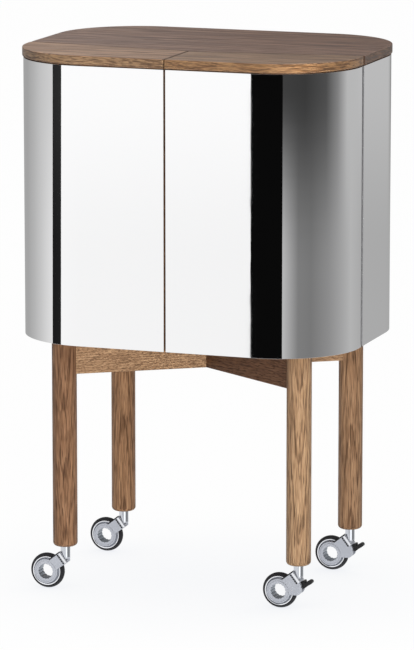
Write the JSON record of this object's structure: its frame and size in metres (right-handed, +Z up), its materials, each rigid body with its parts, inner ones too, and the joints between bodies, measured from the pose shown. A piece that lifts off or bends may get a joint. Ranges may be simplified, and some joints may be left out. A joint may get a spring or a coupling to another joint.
{
  "type": "bar trolley",
  "caption": "Rounded mirror-steel bar cabinet with an oak top that splits with its two swinging corner doors, on round oak legs and hollow-hub swivel castors.",
  "frame": {"origin": "on the floor, under the middle of the top", "axes": "+Z up, -Y towards the doors, +X to the right as seen from the front, the side with the braked castors"},
  "size_m": [0.634, 0.464, 0.995],
  "materials": {
    "smoked_oak": "smoked, oiled, satin",
    "mirror_steel": "mirror polished stainless sheet",
    "hinge_steel": "dark satin",
    "satin_zinc": "satin zinc casting",
    "chrome_plate": "bright plated",
    "black_tyre": "soft grey-black",
    "black_plastic": "moulded",
    "screw_steel": "zinc plated"
  },
  "bodies": {
    "frame": {"rear_top": "smoked_oak", "rear_skin": "mirror_steel", "rear_panel": "smoked_oak", "rear_bottom": "smoked_oak", "rear_shelf": "smoked_oak", "shelf_pins": "screw_steel", "catch_magnets": "screw_steel", "right_hinge_fixed_leaf": "hinge_steel", "left_hinge_fixed_leaf": "hinge_steel", "right_hinge_pin": "hinge_steel", "left_hinge_pin": "hinge_steel", "hinge_frame_screws": "screw_steel", "right_leaning_rail": "smoked_oak", "left_leaning_rail": "smoked_oak", "mount_plate": "hinge_steel", "frame_screws": "screw_steel", "leg_spacers": "black_plastic", "castor_stems": "chrome_plate", "front_left_leg": "smoked_oak", "front_right_leg": "smoked_oak", "rear_left_leg": "smoked_oak", "rear_right_leg": "smoked_oak"},
    "left_door": {"left_door_top": "smoked_oak", "left_door_skin": "mirror_steel", "left_door_panel": "smoked_oak", "left_door_bottom": "smoked_oak", "left_door_shelf": "smoked_oak", "left_bottle_bar": "chrome_plate", "left_hinge_door_leaf": "hinge_steel", "left_hinge_screws": "screw_steel", "left_strike_plate": "screw_steel"},
    "right_door": {"right_door_top": "smoked_oak", "right_door_skin": "mirror_steel", "right_door_panel": "smoked_oak", "right_door_bottom": "smoked_oak", "right_door_shelf": "smoked_oak", "right_bottle_bar": "chrome_plate", "right_hinge_door_leaf": "hinge_steel", "right_hinge_screws": "screw_steel", "right_strike_plate": "screw_steel"},
    "front_left_swivel": {"front_left_castor_fork": "satin_zinc", "front_left_castor_hub": "satin_zinc"},
    "front_left_wheel": {"front_left_wheel_rim": "chrome_plate", "front_left_tyre": "black_tyre"},
    "front_right_swivel": {"front_right_castor_fork": "satin_zinc", "front_right_castor_hub": "satin_zinc"},
    "front_right_wheel": {"front_right_wheel_rim": "chrome_plate", "front_right_tyre": "black_tyre"},
    "front_right_brake": {"front_right_brake_lever": "black_plastic"},
    "rear_left_swivel": {"rear_left_castor_fork": "satin_zinc", "rear_left_castor_hub": "satin_zinc"},
    "rear_left_wheel": {"rear_left_wheel_rim": "chrome_plate", "rear_left_tyre": "black_tyre"},
    "rear_right_swivel": {"rear_right_castor_fork": "satin_zinc", "rear_right_castor_hub": "satin_zinc"},
    "rear_right_wheel": {"rear_right_wheel_rim": "chrome_plate", "rear_right_tyre": "black_tyre"},
    "rear_right_brake": {"rear_right_brake_lever": "black_plastic"}
  },
  "joints": [
    {"name": "left_door_hinge", "type": "hinge", "parent": "frame", "child": "left_door", "pos_m": [-0.315, -0.066, 0.7245], "axis": [0, 0, -1], "range_deg": [0, 110]},
    {"name": "right_door_hinge", "type": "hinge", "parent": "frame", "child": "right_door", "pos_m": [0.315, -0.066, 0.7245], "axis": [0, 0, 1], "range_deg": [0, 110]},
    {"name": "front_left_castor_swivel", "type": "hinge", "parent": "frame", "child": "front_left_swivel", "pos_m": [-0.2245, -0.146, 0.07], "axis": [0, 0, 1], "continuous": true},
    {"name": "front_left_wheel_spin", "type": "hinge", "parent": "front_left_swivel", "child": "front_left_wheel", "pos_m": [-0.259, -0.146, 0.0325], "axis": [0, 1, 0], "continuous": true},
    {"name": "front_right_castor_swivel", "type": "hinge", "parent": "frame", "child": "front_right_swivel", "pos_m": [0.2245, -0.146, 0.07], "axis": [0, 0, 1], "continuous": true},
    {"name": "front_right_wheel_spin", "type": "hinge", "parent": "front_right_swivel", "child": "front_right_wheel", "pos_m": [0.19, -0.146, 0.0325], "axis": [0, 1, 0], "continuous": true},
    {"name": "front_right_brake_press", "type": "hinge", "parent": "front_right_swivel", "child": "front_right_brake", "pos_m": [0.22699, -0.146, 0.04502], "axis": [0, 1, 0], "range_deg": [0, 20]},
    {"name": "rear_left_castor_swivel", "type": "hinge", "parent": "frame", "child": "rear_left_swivel", "pos_m": [-0.2245, 0.158, 0.07], "axis": [0, 0, 1], "continuous": true},
    {"name": "rear_left_wheel_spin", "type": "hinge", "parent": "rear_left_swivel", "child": "rear_left_wheel", "pos_m": [-0.259, 0.158, 0.0325], "axis": [0, 1, 0], "continuous": true},
    {"name": "rear_right_castor_swivel", "type": "hinge", "parent": "frame", "child": "rear_right_swivel", "pos_m": [0.2245, 0.158, 0.07], "axis": [0, 0, 1], "continuous": true},
    {"name": "rear_right_wheel_spin", "type": "hinge", "parent": "rear_right_swivel", "child": "rear_right_wheel", "pos_m": [0.19, 0.158, 0.0325], "axis": [0, 1, 0], "continuous": true},
    {"name": "rear_right_brake_press", "type": "hinge", "parent": "rear_right_swivel", "child": "rear_right_brake", "pos_m": [0.22699, 0.158, 0.04502], "axis": [0, 1, 0], "range_deg": [0, 20]}
  ]
}
